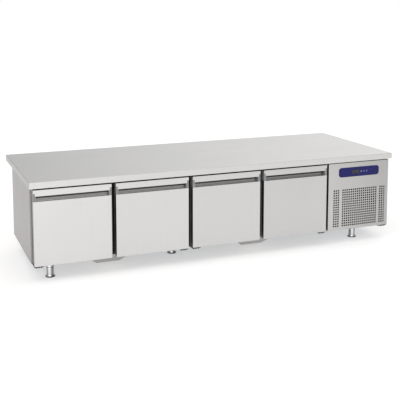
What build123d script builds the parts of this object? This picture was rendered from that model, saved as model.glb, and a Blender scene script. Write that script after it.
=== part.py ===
from build123d import *
import math
import os

# Low four-door refrigerated counter, millimetres. X runs along the front, Y to the back, Z up.
# The origin is on the floor, under the centre of the worktop.

# ---- overall sizes
LENGTH = 2230.0          # worktop along X
DEPTH = 830.0            # worktop along Y
HEIGHT = 540.0           # floor to the top of the worktop
TOP_T = 34.0             # worktop edge height
TOP_EDGE_R = 2.0
UNDER = HEIGHT - TOP_T   # underside of the worktop
BASE = 80.0              # floor to the underside of the body
SHEET = 1.2              # outer stainless sheet
THIN = 0.8               # liner sheet
DECK = BASE + 2.0        # floor of the machine compartment, a shallow tray
DECK_RIM = 12.0

# ---- body
SIDE_X = 1100.0          # outer faces of the side panels
FRONT = -326.0           # front edge of the insulated body
BACK = 272.0             # outer face of the back panel
MACHINE_X = 672.0        # cold room and bulkhead end here, the machine compartment starts
SIDE_LIP = 22.0          # folded front edge of a side panel
RIGHT_FRONT = -378.0     # front edge of the right side panel, close behind the machine panel

# ---- cold room
ROOM_X0, ROOM_X1 = -1060.0, 624.0
ROOM_BACK = 222.0
ROOM_Z0, ROOM_Z1 = 120.0, 463.0
FRAME_T = 13.0           # thickness of the front frame
FRAME_Y = (FRONT - FRAME_T, FRONT)
FRAME_X0 = -SIDE_X + 2.0
OVERLAP = 35.0           # how far a door covers the frame around its opening

# ---- doors
DOORS = 4
DOOR_X = -1095.0         # left edge of the first door
DOOR_W = 420.0
PITCH = 444.5
DOOR_Z0, DOOR_Z1 = 86.0, 497.0
FACE = -406.0            # front faces of the doors and of the machine panel
RETURN = 25.0            # depth of the outer pan, and of the finger channel
DOOR_T = 55.0
SKIN = 1.0
EDGE_R = 1.8             # folded edges of doors and machine panel
LIP_EDGE_R = 0.9
POCKET_Z = 435.0         # floor of the finger channel, top of the flat face
LIP_Z = 463.0            # lower edge of the handle lip
LIP_STEP_Z = 478.0       # above this the lip has the full width of the door
LIP_INSET = 10.0
HEM = 6.0
CAP_W = 14.0             # handle end cap
CAP_BACK, CAP_CORNER = 22.0, 16.0      # how far its flange reaches back, and its sloped lower edge
BUSH_H = 22.0            # block with the bore of a hinge pin
PANEL_BUSH_W = 13.0
PAN_INSET, PAN_INSET_Z = 3.0, 2.0      # dark inner pan, inside the outline of the door
PAN_EDGE_R, GASKET_R = 3.0, 6.0
PAN_WALL = 2.0
GASKET_EDGE = 10.0       # gasket, in from the edge of the door
GASKET_W = 20.0
GASKET_GAP = 0.5         # clearance to the frame when the door is closed

# ---- hinges of the doors and of the machine panel
PIVOT_IN = 8.0           # pivot, in from the edge of the door
PIVOT_BACK = 15.0        # pivot, behind the front face
PIVOT_Y = FACE + PIVOT_BACK
PIN_R = 3.0
PIN_PLAY = 0.05
PIN_HOLE_R = 4.0         # hole in the sheet around a pin
PIN_END_GAP = 3.0
PIN_REACH = 18.0         # length of a pin inside its bush
BRACKET_L = 50.0
BRACKET_T = 4.0
BRACKET_AHEAD = 8.0      # how far a bracket reaches in front of its pin
PANEL_BRACKET_L = 62.0   # lower bracket of the machine panel
PANEL_BRACKET_LOW_T = 3.0
PANEL_BRACKET_HIGH_T = 2.0
LEFT_HINGED = (True, False, True, False)

# ---- machine panel
PANEL_X0, PANEL_X1 = 672.0, 1097.0
PANEL_Z0, PANEL_Z1 = 86.0, 500.0
PANEL_RETURN = 20.0
HOLE = 9.5               # square holes of the grille
HOLE_PITCH = 14.7
GRILLE_Z0 = 106.5
GRILLE_ROWS = 16
GRILLE_MID = 890.0
GRILLE_COLUMNS = (3, 17, 3)
GRILLE_STARTS = (-182.5, -121.0, 143.9)   # first hole of each field, from the middle

# ---- control panel
CONTROL_X, CONTROL_Z = 884.0, 441.0
CONTROL_W, CONTROL_H, CONTROL_T = 284.0, 58.0, 2.0
CONTROL_R = 18.0
CONTROL_EDGE = 0.6
HOUSING_X, HOUSING_Z = 98.0, 16.0        # half sizes of the housing behind the panel
HOUSING_DEPTH, HOUSING_PLAY = 45.0, 2.0
WINDOW_DX = -25.0
WINDOW_W, WINDOW_H = 58.0, 28.0
WINDOW_PROUD, WINDOW_T = 0.3, 1.0
KEY = 12.0
KEY_GAP = 0.3
KEY_DEPTH = 5.0
KEY_PROUD = 1.0
KEY_EDGE = 0.7
KEY_X = {"key_set": 15.0, "key_up": 34.0, "key_down": 53.0}

# ---- feet
FOOT_DISC_R, FOOT_DISC_T = 25.0, 6.0
FOOT_CHAMFER = 2.5
FOOT_GAP = 3.0           # between the shoulder of a foot and its sleeve
FOOT_R = 19.0
SLEEVE_R, SLEEVE_Z = 22.0, 56.0
STEM_R = 12.0
STEM_PLAY = 0.06
FLANGE, FLANGE_T = 90.0, 3.0
FEET = {
    "foot_front_left": (-1000.0, -325.0),
    "foot_front_right": (910.0, -300.0),
    "foot_middle_front": (-255.0, -185.0),
    "foot_middle_rear": (-255.0, 185.0),
    "foot_rear_left": (-1000.0, 185.0),
    "foot_rear_right": (910.0, 185.0),
}

# ---- drain sumps, tapered pans under the first and third mullion
SUMP_Y = -200.0
SUMP_TOP = (276.0, 240.0)
SUMP_FOOT = (134.0, 130.0)
SUMP_Z0 = 20.0
SUMP_WALL = 1.5
PIPE_R, PIPE_BORE, PIPE_DROP = 10.0, 8.0, 15.0

# ---- shelves and what carries them
SHELF_W, SHELF_L = 325.0, 500.0
SHELF_Z = 290.0
SHELF_Y0 = -290.0
SHELF_MIDDLES = [DOOR_X + PITCH * n + DOOR_W / 2 for n in range(DOORS)]
WIRES, WIRE_R = 15, 2.0
RIM = 6.0                # square rod around a shelf
RAIL_T, RAIL_GRIP, RAIL_H = 1.5, 9.0, 16.0
POST_W, POST_T = 60.0, 20.0
POST_Y = (-270.0, 160.0)

# ---- coils and fans
FIN_PITCH, FIN_T = 8.0, 1.2
TUBE_R = 5.0
SHAFT_R, SHAFT_PLAY = 3.0, 0.05
BLADES, BLADE_T = 5, 1.6
BLADE_CHORD = 0.62       # share of the radius

# ---- evaporators, behind the first and third mullion
EVAP_W = 90.0
EVAP_Y0, EVAP_Y1 = -300.0, 200.0
COVER_T = 1.0
EVAP_SLOTS, EVAP_SLOT_Z, EVAP_SLOT_PITCH, EVAP_SLOT_GAP = 9, 170.0, 28.0, 8.0
EVAP_SLOT_Y = (20.0, 170.0)
EVAP_FINS, EVAP_FIN_Y, EVAP_FIN_Z = 21, 10.0, (160.0, 425.0)
EVAP_FIN_MARGIN = 12.0
EVAP_TUBE_DX, EVAP_TUBE_Y = 15.0, (-5.0, 185.0)
EVAP_TUBE_Z = (200.0, 245.0, 290.0, 335.0, 380.0)
EVAP_FAN_Y, EVAP_FAN_Z = -150.0, 291.0
EVAP_FAN_R, EVAP_HUB_R, EVAP_FAN_T, EVAP_TWIST = 70.0, 16.0, 22.0, 24.0
EVAP_FAN_PLAY = 4.0
EVAP_MOTOR_R, EVAP_MOTOR_X = 22.0, (8.0, -6.0)      # from the cover, and from the middle
EVAP_SHAFT_END = 24.0
EVAP_STRUT, EVAP_STRUT_H = 95.0, 8.0                # half length and half height

# ---- rear of the machine compartment
GRILLE_BACK = (720.0, 1050.0, 150.0, 420.0)     # opening of the rear grille: X and Z
GRILLE_BORDER, SLAT_PITCH, SLAT_GAP, SLAT_MARGIN = 15.0, 15.0, 6.0, 8.0
GLAND = (1060.0, 115.0)
GLAND_R, GLAND_BORE, GLAND_NUT_R, GLAND_PLAY = 8.9, 5.0, 12.0, 0.1
GLAND_IN, GLAND_OUT = 12.0, 18.0         # ends of the gland, in and out from the panel
NUT_IN, NUT_OUT = 5.0, 6.0

# ---- condensing unit
COIL_X0, COIL_X1 = 730.0, 1050.0
COIL_Y0, COIL_Y1 = -335.0, -285.0
COIL_Z0, COIL_Z1 = 100.0, 350.0
COIL_FINS = 41
COIL_TUBE_Y = (15.0, 35.0)
COIL_TUBE_END = 12.0
COIL_ROWS, COIL_ROW_Z, COIL_ROW_PITCH = 6, 25.0, 40.0
CONDENSER_FAN_R, CONDENSER_HUB_R, CONDENSER_FAN_T, CONDENSER_TWIST = 100.0, 24.0, 34.0, 26.0
CONDENSER_FAN_PLAY = 6.0
SHROUD_Y1 = -235.0
SHROUD_T, SHROUD_MARGIN, SHROUD_HEAD = 2.0, 14.0, 10.0
MOTOR_GAP, MOTOR_R, MOTOR_L = 12.0, 38.0, 55.0
MOTOR_SHAFT, FAN_AHEAD = 40.0, 4.0
STRUT_X, STRUT_H, STRUT_T = 150.0, 10.0, 4.0
STRUT_BACK = 8.0
COMPRESSOR_X, COMPRESSOR_Y = 800.0, 60.0
COMPRESSOR_R, COMPRESSOR_H, COMPRESSOR_ROUND = 82.0, 130.0, 34.0
COMPRESSOR_LIFT = 22.0   # bottom of the can above the deck
PLATE_X, PLATE_Y, PLATE_LOW, PLATE_HIGH = 105.0, 75.0, 4.0, 6.0
GROMMET_X, GROMMET_Y, GROMMET_R = 88.0, 60.0, 11.0
TERMINAL_X, TERMINAL_Y, TERMINAL_Z = (70.0, 104.0), 30.0, (30.0, 90.0)
DISCHARGE_X, DISCHARGE_DY = 700.0, -40.0
SUCTION_DX, SUCTION_DY, SUCTION_RISE = -20.0, 30.0, 60.0
LIQUID_X, LIQUID_Y = 1080.0, -60.0
PRESSURE_PIPE = (4.0, 12.0)              # radius and bend radius
SUCTION_PIPE = (6.0, 20.0)
DRIER_Z, DRIER_R = (300.0, 360.0), 11.0
ELECTRICS_X, ELECTRICS_Y, ELECTRICS_Z = 950.0, (40.0, 190.0), (380.0, 490.0)
PAN_X, PAN_Y = (710.0, 1040.0), (175.0, 262.0)      # evaporation tray
PAN_H, PAN_T = 40.0, 1.5

PARTS = "parts"


def block(x0, x1, y0, y1, z0, z1):
    return Pos((x0 + x1) / 2, (y0 + y1) / 2, (z0 + z1) / 2) * Box(x1 - x0, y1 - y0, z1 - z0)


def rod_x(x0, x1, y, z, r):
    return Pos((x0 + x1) / 2, y, z) * Rot(0, 90, 0) * Cylinder(r, x1 - x0)


def rod_y(x, y0, y1, z, r):
    return Pos(x, (y0 + y1) / 2, z) * Rot(90, 0, 0) * Cylinder(r, y1 - y0)


def rod_z(x, y, z0, z1, r):
    return Pos(x, y, (z0 + z1) / 2) * Cylinder(r, z1 - z0)


def side_profile(points, x0, x1):
    """A solid with a (Y, Z) outline, from x0 to x1."""
    face = make_face(Polyline(*points, close=True))
    return Pos(x0, 0, 0) * extrude(Plane.YZ * face, x1 - x0)


def edges_along(shape, axis, test):
    return [edge for edge in shape.edges().filter_by(axis) if test(edge.center())]


def edges_front(shape, y):
    return [edge for edge in shape.edges() if abs(edge.center().Y - y) < 0.01]


def save(node, *solids):
    shape = solids[0] if len(solids) == 1 else Compound(children=list(solids))
    export_step(shape, os.path.join(PARTS, node + ".step"))


def door_left(number):
    return DOOR_X + PITCH * number


def mullion_middle(number):
    """Middle of the mullion to the right of a door."""
    return door_left(number) + (DOOR_W + PITCH) / 2


# ------------------------------------------------------------------ worktop and body
def worktop():
    skin = block(-LENGTH / 2, LENGTH / 2, -DEPTH / 2, DEPTH / 2, UNDER, HEIGHT)
    top_edges = [edge for edge in skin.edges() if edge.center().Z > UNDER + 1]
    skin = fillet(top_edges, TOP_EDGE_R)
    core = block(-LENGTH / 2 + SHEET, LENGTH / 2 - SHEET, -DEPTH / 2 + SHEET, DEPTH / 2 - SHEET,
                 UNDER, HEIGHT - SHEET)
    save("worktop_skin", skin - core)
    save("worktop_core", core)


def side_panels():
    left = block(-SIDE_X, -SIDE_X + SHEET, FRONT, BACK, BASE, UNDER)
    left += block(-SIDE_X, -SIDE_X + SIDE_LIP, FRONT, FRONT + SHEET, BASE, UNDER)
    save("side_panel_left", left)
    right = block(SIDE_X - SHEET, SIDE_X, RIGHT_FRONT, BACK, BASE, UNDER)
    right += block(SIDE_X - SIDE_LIP, SIDE_X, RIGHT_FRONT, RIGHT_FRONT + SHEET, BASE + DECK_RIM, UNDER)
    save("side_panel_right", right)


def back_wall():
    x0, x1, z0, z1 = GRILLE_BACK
    sheet = block(-SIDE_X + SHEET, SIDE_X - SHEET, BACK - SHEET, BACK, BASE, UNDER)
    sheet -= block(x0, x1, BACK - SHEET, BACK, z0, z1)
    sheet -= rod_y(GLAND[0], BACK - SHEET, BACK, GLAND[1], GLAND_R + GLAND_PLAY)
    save("back_panel", sheet)

    plate = block(x0 - GRILLE_BORDER, x1 + GRILLE_BORDER, BACK, BACK + SHEET,
                  z0 - GRILLE_BORDER, z1 + GRILLE_BORDER)
    middle = (x0 + x1) / 2
    slots = []
    for row in range(int((z1 - z0) / SLAT_PITCH)):
        z = z0 + SLAT_PITCH * (row + 0.5)
        for start, end in ((x0 + SLAT_MARGIN, middle - SLAT_MARGIN), (middle + SLAT_MARGIN, x1 - SLAT_MARGIN)):
            slots.append(block(start, end, BACK, BACK + SHEET, z - SLAT_GAP / 2, z + SLAT_GAP / 2))
    save("rear_grille", plate - slots)

    gland = rod_y(GLAND[0], BACK - GLAND_IN, BACK + GLAND_OUT, GLAND[1], GLAND_R)
    for y0, y1 in ((BACK, BACK + NUT_OUT), (BACK - SHEET - NUT_IN, BACK - SHEET)):
        hexagon = extrude(Plane.XZ * RegularPolygon(GLAND_NUT_R, 6), y1 - y0)
        gland += Pos(GLAND[0], y1, GLAND[1]) * hexagon
    gland -= rod_y(GLAND[0], BACK - GLAND_IN, BACK + GLAND_OUT, GLAND[1], GLAND_BORE)
    save("power_gland", gland)


def base_sheets():
    cold = block(-SIDE_X + SHEET, MACHINE_X, FRONT + SHEET, BACK - SHEET, BASE, BASE + SHEET)
    for x in (mullion_middle(0), mullion_middle(2)):
        cold -= rod_z(x, SUMP_Y, BASE, BASE + SHEET, PIPE_R)
    rim_z = BASE + DECK_RIM
    deck = block(MACHINE_X, SIDE_X - SHEET, RIGHT_FRONT + SHEET, BACK - SHEET, BASE, rim_z)
    deck -= block(MACHINE_X + SHEET, SIDE_X - 2 * SHEET, RIGHT_FRONT + 2 * SHEET, BACK - 2 * SHEET, DECK, rim_z)
    save("base_panels", cold, deck)


def insulation():
    x0, x1 = -SIDE_X + SHEET, MACHINE_X
    y0, y1 = FRONT + SHEET, BACK - SHEET
    floor = block(x0, x1, y0, y1, BASE + SHEET, ROOM_Z0)
    for x in (mullion_middle(0), mullion_middle(2)):
        floor -= rod_z(x, SUMP_Y, BASE, ROOM_Z0, PIPE_R)
    ceiling = block(x0, x1, y0, y1, ROOM_Z1, UNDER)
    left = block(x0, ROOM_X0, y0, y1, ROOM_Z0, ROOM_Z1)
    bulkhead = block(ROOM_X1, x1, y0, y1, ROOM_Z0, ROOM_Z1)
    rear = block(ROOM_X0, ROOM_X1, ROOM_BACK, y1, ROOM_Z0, ROOM_Z1)
    save("insulation_slabs", floor, ceiling, left, bulkhead, rear)


def inner_liner():
    box = block(ROOM_X0, ROOM_X1, FRONT + SHEET, ROOM_BACK, ROOM_Z0, ROOM_Z1)
    box -= block(ROOM_X0 + THIN, ROOM_X1 - THIN, FRONT, ROOM_BACK - THIN, ROOM_Z0 + THIN, ROOM_Z1 - THIN)
    for x in (mullion_middle(0), mullion_middle(2)):
        box -= rod_z(x, SUMP_Y, ROOM_Z0, ROOM_Z0 + THIN, PIPE_BORE)
    save("inner_liner", box)


def front_frame():
    y0, y1 = FRAME_Y
    low, high = DOOR_Z0 + OVERLAP, DOOR_Z1 - OVERLAP
    bars = [block(FRAME_X0, MACHINE_X, y0, y1, BASE + BRACKET_T, low),
            block(FRAME_X0, MACHINE_X, y0, y1, high, UNDER)]
    starts = [FRAME_X0] + [door_left(n) + DOOR_W - OVERLAP for n in range(DOORS)]
    ends = [door_left(n) + OVERLAP for n in range(DOORS)] + [MACHINE_X]
    for x0, x1 in zip(starts, ends):
        bars.append(block(x0, x1, y0, y1, low, high))
    save("front_frame", *bars)


def drains():
    """Tapered sumps under the cold room, each with a drain pipe from the liner."""
    solids = []
    inside_foot = [side - 2 * SUMP_WALL for side in SUMP_FOOT]
    inside_top = [side - 2 * SUMP_WALL for side in SUMP_TOP]
    for x in (mullion_middle(0), mullion_middle(2)):
        foot = Pos(x, SUMP_Y, SUMP_Z0) * Rectangle(*SUMP_FOOT)
        top = Pos(x, SUMP_Y, BASE) * Rectangle(*SUMP_TOP)
        inner_foot = Pos(x, SUMP_Y, SUMP_Z0 + SUMP_WALL) * Rectangle(*inside_foot)
        inner_top = Pos(x, SUMP_Y, BASE) * Rectangle(*inside_top)
        solids.append(loft([foot, top]) - loft([inner_foot, inner_top]))
        pipe = rod_z(x, SUMP_Y, BASE - PIPE_DROP, ROOM_Z0, PIPE_R)
        solids.append(pipe - rod_z(x, SUMP_Y, BASE - PIPE_DROP, ROOM_Z0, PIPE_BORE))
    save("drain_sumps", *solids)


def feet():
    """Sleeves with flanges under the body, and the feet whose stems turn in them."""
    sleeves = []
    half = FLANGE / 2
    shoulder = SLEEVE_Z - FOOT_GAP
    for name, (x, y) in FEET.items():
        sleeve = block(x - half, x + half, max(y - half, FRAME_Y[0]), y + half, BASE - FLANGE_T, BASE)
        sleeve += rod_z(x, y, SLEEVE_Z, BASE, SLEEVE_R)
        sleeves.append(sleeve - rod_z(x, y, SLEEVE_Z, BASE, STEM_R + STEM_PLAY))
        disc = rod_z(x, y, 0, FOOT_DISC_T, FOOT_DISC_R)
        rim = disc.edges().filter_by(GeomType.CIRCLE).sort_by(Axis.Z)[-1]
        foot = chamfer(rim, FOOT_CHAMFER) + rod_z(x, y, FOOT_DISC_T, shoulder, FOOT_R)
        save(name, foot + rod_z(x, y, shoulder, BASE - FOOT_GAP, STEM_R))
    save("leg_sleeves", *sleeves)


# ------------------------------------------------------------------ doors
def pivot_x(number):
    if LEFT_HINGED[number]:
        return door_left(number) + PIVOT_IN
    return door_left(number) + DOOR_W - PIVOT_IN


def door_skin(x0, pivot):
    x1 = x0 + DOOR_W
    pan = block(x0, x1, FACE, FACE + RETURN, DOOR_Z0, POCKET_Z)
    rounded = [edge for edge in pan.edges() if edge.center().Y < FACE + RETURN - 1]
    pan = fillet(rounded, EDGE_R)
    pan -= block(x0 + SKIN, x1 - SKIN, FACE + SKIN, FACE + RETURN, DOOR_Z0 + SKIN, POCKET_Z - SKIN)
    pan -= rod_z(pivot, PIVOT_Y, DOOR_Z0, DOOR_Z0 + SKIN, PIN_HOLE_R)

    rear = FACE + RETURN
    channel = block(x0, x1, FACE, rear, DOOR_Z1 - SKIN, DOOR_Z1)
    channel += block(x0, x1, FACE, FACE + SKIN, LIP_Z, DOOR_Z1)
    channel += block(x0, x1, FACE, FACE + HEM, LIP_Z, LIP_Z + SKIN)
    channel += block(x0 + PAN_INSET, x1 - PAN_INSET, rear - SKIN, rear, POCKET_Z, DOOR_Z1)
    front_edge = edges_along(channel, Axis.X, lambda c: c.Y < FACE + 0.1 and c.Z > DOOR_Z1 - 0.1)
    channel = fillet(front_edge, EDGE_R)
    lower_edge = edges_along(channel, Axis.X, lambda c: c.Y < FACE + 0.1 and c.Z < LIP_Z + 0.1)
    channel = fillet(lower_edge, LIP_EDGE_R)
    channel -= block(x0, x0 + LIP_INSET, FACE, FACE + HEM, LIP_Z, LIP_STEP_Z)
    channel -= block(x1 - LIP_INSET, x1, FACE, FACE + HEM, LIP_Z, LIP_STEP_Z)
    channel -= rod_z(pivot, PIVOT_Y, DOOR_Z1 - SKIN, DOOR_Z1, PIN_HOLE_R)
    return pan, channel


def bush_left(number):
    """Left side of the bush at the bottom corner of a door."""
    if LEFT_HINGED[number]:
        return door_left(number) + SKIN
    return door_left(number) + DOOR_W - SKIN - CAP_W


def door_caps(number):
    """Two handle end caps with hinge bushes, and the bush at the bottom corner."""
    x0, x1 = door_left(number), door_left(number) + DOOR_W
    rear = FACE + RETURN
    high = DOOR_Z1 - SKIN
    profile = [(FACE + SKIN, POCKET_Z), (rear, POCKET_Z), (rear + CAP_BACK, DOOR_Z1 - CAP_CORNER),
               (rear + CAP_BACK, high), (FACE + SKIN, high)]
    caps = []
    for outer, inner in ((x0, x0 + CAP_W), (x1, x1 - CAP_W)):
        flange_end = outer + math.copysign(PAN_INSET, inner - outer)
        cap = side_profile(profile, min(outer, flange_end), max(outer, flange_end))
        cap += block(min(outer, inner), max(outer, inner), FACE + SKIN, rear - SKIN, POCKET_Z, high)
        for x in (x0 + LIP_INSET, x1 - LIP_INSET):
            cap -= block(x - LIP_INSET / 2, x + LIP_INSET / 2, FACE, FACE + HEM, LIP_Z, LIP_Z + SKIN)
        pin_x = outer + math.copysign(PIVOT_IN, inner - outer)
        cap -= rod_z(pin_x, PIVOT_Y, DOOR_Z1 - PIN_REACH - PIN_END_GAP, DOOR_Z1, PIN_R + PIN_PLAY)
        caps.append(cap)
    low = DOOR_Z0 + SKIN
    bush_x = bush_left(number)
    bush = block(bush_x, bush_x + CAP_W, FACE + SKIN, rear, low, low + BUSH_H)
    bush -= rod_z(pivot_x(number), PIVOT_Y, low, DOOR_Z0 + PIN_REACH + PIN_END_GAP, PIN_R + PIN_PLAY)
    return caps, bush


def door(number):
    name = f"door_{number + 1}"
    x0 = door_left(number)
    x1 = x0 + DOOR_W
    rear = FACE + RETURN
    back = FACE + DOOR_T
    pivot = pivot_x(number)
    pan, channel = door_skin(x0, pivot)
    save(name + "_skin", pan, channel)
    caps, bush = door_caps(number)
    save(name + "_caps", *caps, bush)

    px0, px1 = x0 + PAN_INSET, x1 - PAN_INSET
    pz0, pz1 = DOOR_Z0 + PAN_INSET_Z, DOOR_Z1 - PAN_INSET_Z
    inner = block(px0, px1, rear, back, pz0, pz1)
    hollow = block(px0 + PAN_WALL, px1 - PAN_WALL, rear, back - PAN_WALL, pz0 + PAN_WALL, pz1 - PAN_WALL)
    inner = fillet(edges_along(inner, Axis.Z, lambda c: c.Y > back - 1), PAN_EDGE_R) - hollow
    save(name + "_pan", inner)

    core = hollow + block(x0 + SKIN, x1 - SKIN, FACE + SKIN, rear, DOOR_Z0 + SKIN, POCKET_Z - SKIN)
    bush_x = bush_left(number)
    core -= block(bush_x, bush_x + CAP_W, FACE, rear, DOOR_Z0, DOOR_Z0 + SKIN + BUSH_H)
    save(name + "_core", core)

    seal = FRAME_Y[0] - GASKET_GAP
    gx0, gx1 = x0 + GASKET_EDGE, x1 - GASKET_EDGE
    gz0, gz1 = DOOR_Z0 + GASKET_EDGE, DOOR_Z1 - GASKET_EDGE
    ring = block(gx0, gx1, back, seal, gz0, gz1)
    ring = fillet(edges_along(ring, Axis.Y, lambda c: True), GASKET_R)
    ring -= block(gx0 + GASKET_W, gx1 - GASKET_W, back, seal, gz0 + GASKET_W, gz1 - GASKET_W)
    save(name + "_gasket", ring)


def hinge_brackets():
    """Flat brackets on the frame, and the round pins that stand on them."""
    y0 = PIVOT_Y - BRACKET_AHEAD
    solids = []
    for number in range(DOORS):
        pivot = pivot_x(number)
        x0 = pivot - PIVOT_IN if LEFT_HINGED[number] else pivot + PIVOT_IN - BRACKET_L
        low, high = BASE + BRACKET_T, UNDER - BRACKET_T
        solids.append(block(x0, x0 + BRACKET_L, y0, FRAME_Y[1], BASE, low))
        solids.append(rod_z(pivot, PIVOT_Y, low, DOOR_Z0 + PIN_REACH, PIN_R))
        solids.append(block(x0, x0 + BRACKET_L, y0, FRAME_Y[0], high, UNDER))
        solids.append(rod_z(pivot, PIVOT_Y, DOOR_Z1 - PIN_REACH, high, PIN_R))
    pivot = PANEL_X1 - PIVOT_IN
    low, high = BASE + PANEL_BRACKET_LOW_T, UNDER - PANEL_BRACKET_HIGH_T
    solids.append(block(PANEL_X1 - PANEL_BRACKET_L, PANEL_X1, y0, RIGHT_FRONT + SHEET, BASE, low))
    solids.append(rod_z(pivot, PIVOT_Y, low, PANEL_Z0 + PIN_REACH, PIN_R))
    solids.append(block(PANEL_X1 - BRACKET_L, PANEL_X1, y0, RIGHT_FRONT, high, UNDER))
    solids.append(rod_z(pivot, PIVOT_Y, PANEL_Z1 - PIN_REACH, high, PIN_R))
    save("hinge_brackets", *solids)


# ------------------------------------------------------------------ inside the cold room
def shelves():
    """Wire shelves: a square rod frame, wires from front to back and two cross bars below them."""
    solids = []
    y0, y1 = SHELF_Y0, SHELF_Y0 + SHELF_L
    half = RIM / 2
    for middle in SHELF_MIDDLES:
        x0, x1 = middle - SHELF_W / 2, middle + SHELF_W / 2
        rim = block(x0, x1, y0, y1, SHELF_Z, SHELF_Z + RIM)
        rim -= block(x0 + RIM, x1 - RIM, y0 + RIM, y1 - RIM, SHELF_Z, SHELF_Z + RIM)
        rods = []
        for i in range(WIRES):
            x = x0 + (i + 1) * SHELF_W / (WIRES + 1)
            rods.append(rod_y(x, y0 + half, y1 - half, SHELF_Z + half, WIRE_R))
        for share in (1 / 3, 2 / 3):
            y = y0 + share * SHELF_L
            rods.append(block(x0 + half, x1 - half, y - half, y + half, SHELF_Z, SHELF_Z + half))
        solids.append(rim + rods)
    save("shelves", *solids)


def shelf_rails():
    """Angle rails under the long edges of each shelf, and two posts behind the middle mullion."""
    half = EVAP_W / 2
    walls = [(ROOM_X0 + THIN, mullion_middle(0) - half),
             (mullion_middle(0) + half, mullion_middle(1) - POST_W / 2),
             (mullion_middle(1) + POST_W / 2, mullion_middle(2) - half),
             (mullion_middle(2) + half, ROOM_X1 - THIN)]
    y0, y1 = SHELF_Y0, EVAP_Y1
    low, high = SHELF_Z - RAIL_T, SHELF_Z + RAIL_H
    solids = []
    for (wall0, wall1), middle in zip(walls, SHELF_MIDDLES):
        edge0, edge1 = middle - SHELF_W / 2, middle + SHELF_W / 2
        left = block(wall0, edge0 + RAIL_GRIP, y0, y1, low, SHELF_Z)
        left += block(wall0, wall0 + RAIL_T, y0, y1, low, high)
        right = block(edge1 - RAIL_GRIP, wall1, y0, y1, low, SHELF_Z)
        right += block(wall1 - RAIL_T, wall1, y0, y1, low, high)
        solids += [left, right]
    middle = mullion_middle(1)
    for y in POST_Y:
        solids.append(block(middle - POST_W / 2, middle + POST_W / 2, y, y + POST_T,
                            ROOM_Z0 + THIN, ROOM_Z1 - THIN))
    save("shelf_rails", *solids)


def fan(radius, hub_r, depth, twist):
    """A fan wheel about Z, from z = 0 to depth, with a bore for its motor shaft."""
    wheel = Pos(0, 0, depth / 2) * Cylinder(hub_r, depth)
    root = hub_r - 2
    blade_profile = Plane.YZ * Rot(0, 0, twist) * Rectangle(radius * BLADE_CHORD, BLADE_T)
    blade = Pos(root, 0, depth / 2) * extrude(blade_profile, radius - root)
    for i in range(BLADES):
        wheel += Rot(0, 0, 360 * i / BLADES) * blade
    wheel = wheel & Cylinder(radius, depth, align=(Align.CENTER, Align.CENTER, Align.MIN))
    return wheel - Cylinder(SHAFT_R + SHAFT_PLAY, 2 * depth)


def evaporators():
    covers, coils, motors = [], [], []
    half = EVAP_W / 2
    z0, z1 = ROOM_Z0 + THIN, ROOM_Z1 - THIN
    fan_y, fan_z = EVAP_FAN_Y, EVAP_FAN_Z
    for index, x in enumerate((mullion_middle(0), mullion_middle(2))):
        x0, x1 = x - half, x + half
        cover = block(x0, x1, EVAP_Y0, EVAP_Y1, z0, z1)
        cover -= block(x0 + COVER_T, x1 - COVER_T, EVAP_Y0 + COVER_T, EVAP_Y1 - COVER_T, z0, z1)
        cover -= rod_x(x0, x1, fan_y, fan_z, EVAP_FAN_R + EVAP_FAN_PLAY)
        for row in range(EVAP_SLOTS):
            z = EVAP_SLOT_Z + EVAP_SLOT_PITCH * row
            cover -= block(x0, x1, *EVAP_SLOT_Y, z, z + EVAP_SLOT_GAP)
        covers.append(cover)

        fins = []
        for i in range(EVAP_FINS):
            y = EVAP_FIN_Y + FIN_PITCH * i
            fins.append(block(x0 + EVAP_FIN_MARGIN, x1 - EVAP_FIN_MARGIN, y, y + FIN_T, *EVAP_FIN_Z))
        tubes = [rod_y(tube_x, *EVAP_TUBE_Y, z, TUBE_R)
                 for tube_x in (x - EVAP_TUBE_DX, x + EVAP_TUBE_DX) for z in EVAP_TUBE_Z]
        coils.append(fins[0] + fins[1:] + tubes)

        motor_x0, motor_x1 = x0 + EVAP_MOTOR_X[0], x + EVAP_MOTOR_X[1]
        motor = rod_x(motor_x0, motor_x1, fan_y, fan_z, EVAP_MOTOR_R)
        motor += rod_x(motor_x1, x + EVAP_SHAFT_END, fan_y, fan_z, SHAFT_R)
        motor += block(x0 + COVER_T, motor_x0, fan_y - EVAP_STRUT, fan_y + EVAP_STRUT,
                       fan_z - EVAP_STRUT_H, fan_z + EVAP_STRUT_H)
        motors.append(motor)
        wheel = fan(EVAP_FAN_R, EVAP_HUB_R, EVAP_FAN_T, EVAP_TWIST)
        save(f"evaporator_fan_{index + 1}", Pos(x, fan_y, fan_z) * Rot(0, 90, 0) * wheel)
    save("evaporator_covers", *covers)
    save("evaporator_coils", *coils)
    return motors


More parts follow.
